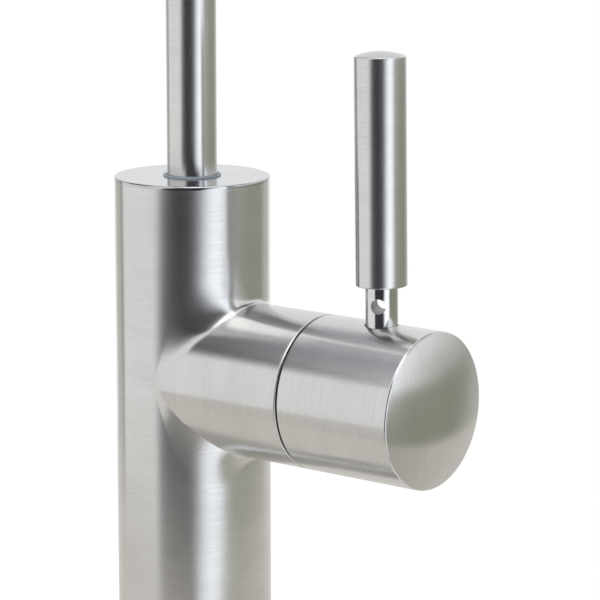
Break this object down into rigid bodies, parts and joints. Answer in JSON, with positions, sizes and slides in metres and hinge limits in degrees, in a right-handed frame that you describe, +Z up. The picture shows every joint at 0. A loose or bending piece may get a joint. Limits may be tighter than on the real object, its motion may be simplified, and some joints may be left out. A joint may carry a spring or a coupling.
{
  "type": "water dispenser faucet",
  "caption": "Brushed steel drinking-water faucet with a round body, a welded side branch, a quarter-turn lever valve and a swivelling gooseneck spout.",
  "frame": {"origin": "on the worktop's surface, at the axis of the body and of the hole in the worktop", "axes": "+Z up along the body, -Y forward along the spout, +X along the side branch with the handle"},
  "size_m": [0.0782, 0.1375, 0.3877],
  "materials": {
    "brushed_steel": "stainless steel, fine brushed lines round each turned piece",
    "polished_steel": "stainless steel, polished",
    "brass": "turned brass",
    "copper": "drawn copper pipe",
    "dark_steel": "blackened steel",
    "black_rubber": "moulded, matt",
    "blue_grey_plastic": "hard acetal, satin",
    "white_plastic": "moulded",
    "ceramic": "lapped alumina ceramic, polished faces"
  },
  "bodies": {
    "faucet_body": {"body_shell": "brushed_steel", "base_ring": "brushed_steel", "base_gasket": "black_rubber", "threaded_shank": "brass", "inlet_pipe": "copper", "deck_rubber_washer": "black_rubber", "deck_steel_washer": "polished_steel", "mounting_nut": "brass", "spout_bush": "blue_grey_plastic", "spout_grub_screw": "dark_steel", "seat_seal": "black_rubber", "cartridge_shell": "brass", "cartridge_o_ring": "black_rubber", "fixed_ceramic_disc": "ceramic", "cartridge_retainer": "brass", "glide_ring": "blue_grey_plastic"},
    "handle": {"moving_ceramic_disc": "ceramic", "valve_stem": "brass", "stem_o_rings": "black_rubber", "stem_clip": "polished_steel", "hub": "brushed_steel", "lever_stud": "polished_steel", "lever": "brushed_steel"},
    "spout": {"spout_tube": "brushed_steel", "spout_spigot": "brass", "spout_o_rings": "black_rubber", "nozzle_shell": "brushed_steel", "nozzle_washer": "black_rubber", "flow_straightener": "white_plastic", "nozzle_ring": "polished_steel"}
  },
  "joints": [
    {"name": "handle_turn", "type": "hinge", "parent": "faucet_body", "child": "handle", "pos_m": [0.0451, 0, 0.0784], "axis": [1, 0, 0], "range_deg": [0, 90]},
    {"name": "spout_swivel", "type": "hinge", "parent": "faucet_body", "child": "spout", "pos_m": [0, 0, 0.116], "axis": [0, 0, 1], "continuous": true}
  ]
}
